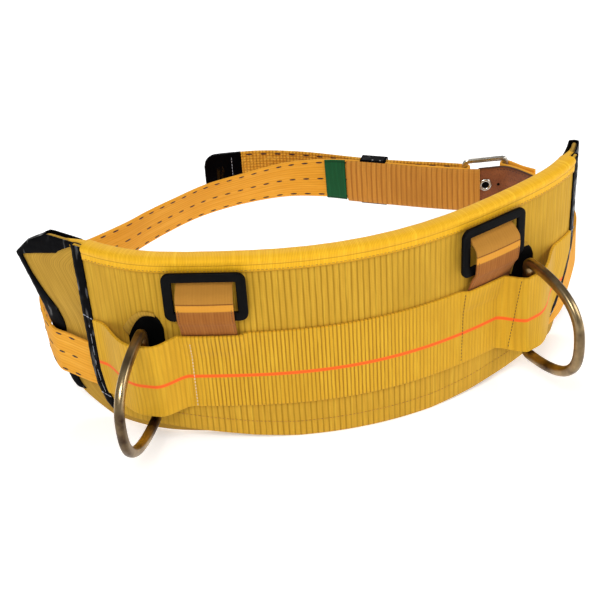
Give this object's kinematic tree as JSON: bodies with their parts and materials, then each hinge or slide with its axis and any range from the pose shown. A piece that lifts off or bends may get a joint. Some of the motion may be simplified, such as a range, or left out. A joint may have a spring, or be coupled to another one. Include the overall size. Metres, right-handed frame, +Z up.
{
  "type": "work positioning belt with side D-rings",
  "caption": "Tall webbing back pad with a padded liner, side D-rings in a wide web, black accessory rings on webbing loops and a waist strap fastened at a buckle.",
  "frame": {"origin": "centre of the waist opening, at the middle of the strap's height", "axes": "+X along the pad from its left end to its right end as seen from the front, -Y out of the pad's face, +Z up"},
  "size_m": [0.5257, 0.4253, 0.1877],
  "materials": {
    "panel_webbing": "ribbed woven panel",
    "pad_fabric": "smooth woven cover over foam",
    "bright_binding": "folded tape",
    "black_vinyl": "glossy vinyl tape",
    "wide_webbing": "flat woven webbing",
    "tan_webbing": "ribbed webbing",
    "strap_webbing": "flat woven webbing with stitching",
    "bronzed_steel": "forged and bronzed",
    "black_steel": "black coated",
    "bright_steel": "plated",
    "green_label": "plain woven tag",
    "brown_leather": "oiled leather"
  },
  "bodies": {
    "belt": {"outer_panel": "panel_webbing", "comfort_pad": "pad_fabric", "top_binding": "bright_binding", "left_panel_binding": "black_vinyl", "right_panel_binding": "black_vinyl", "left_pad_cap": "black_vinyl", "right_pad_cap": "black_vinyl", "wide_web": "wide_webbing", "left_wear_plate": "black_vinyl", "right_wear_plate": "black_vinyl", "left_ring_loop": "tan_webbing", "right_ring_loop": "tan_webbing", "waist_strap": "strap_webbing", "strap_tip": "black_vinyl", "strap_sleeve": "tan_webbing", "size_tag": "green_label", "strap_keeper": "black_vinyl", "buckle": "bright_steel", "leather_tab": "brown_leather", "eyelet": "bright_steel"},
    "left_d": {"left_d_ring": "bronzed_steel"},
    "right_d": {"right_d_ring": "bronzed_steel"},
    "left_accessory": {"left_ring": "black_steel"},
    "right_accessory": {"right_ring": "black_steel"}
  },
  "joints": [
    {"name": "left_d_hinge", "type": "hinge", "parent": "belt", "child": "left_d", "pos_m": [-0.18584, -0.12108, -0.0025], "axis": [-0.0651, -0.103, 0.9925], "range_deg": [-40, 40]},
    {"name": "right_d_hinge", "type": "hinge", "parent": "belt", "child": "right_d", "pos_m": [0.1492, -0.1471, -0.0025], "axis": [0.0039, -0.017, 0.9998], "range_deg": [-40, 40]},
    {"name": "left_ring_hinge", "type": "hinge", "parent": "belt", "child": "left_accessory", "pos_m": [-0.13523, -0.13898, 0.05425], "axis": [0.9329, -0.3602, 0], "range_deg": [0, 80]},
    {"name": "right_ring_hinge", "type": "hinge", "parent": "belt", "child": "right_accessory", "pos_m": [0.11513, -0.15093, 0.05425], "axis": [0.9478, 0.3188, 0], "range_deg": [0, 80]}
  ]
}
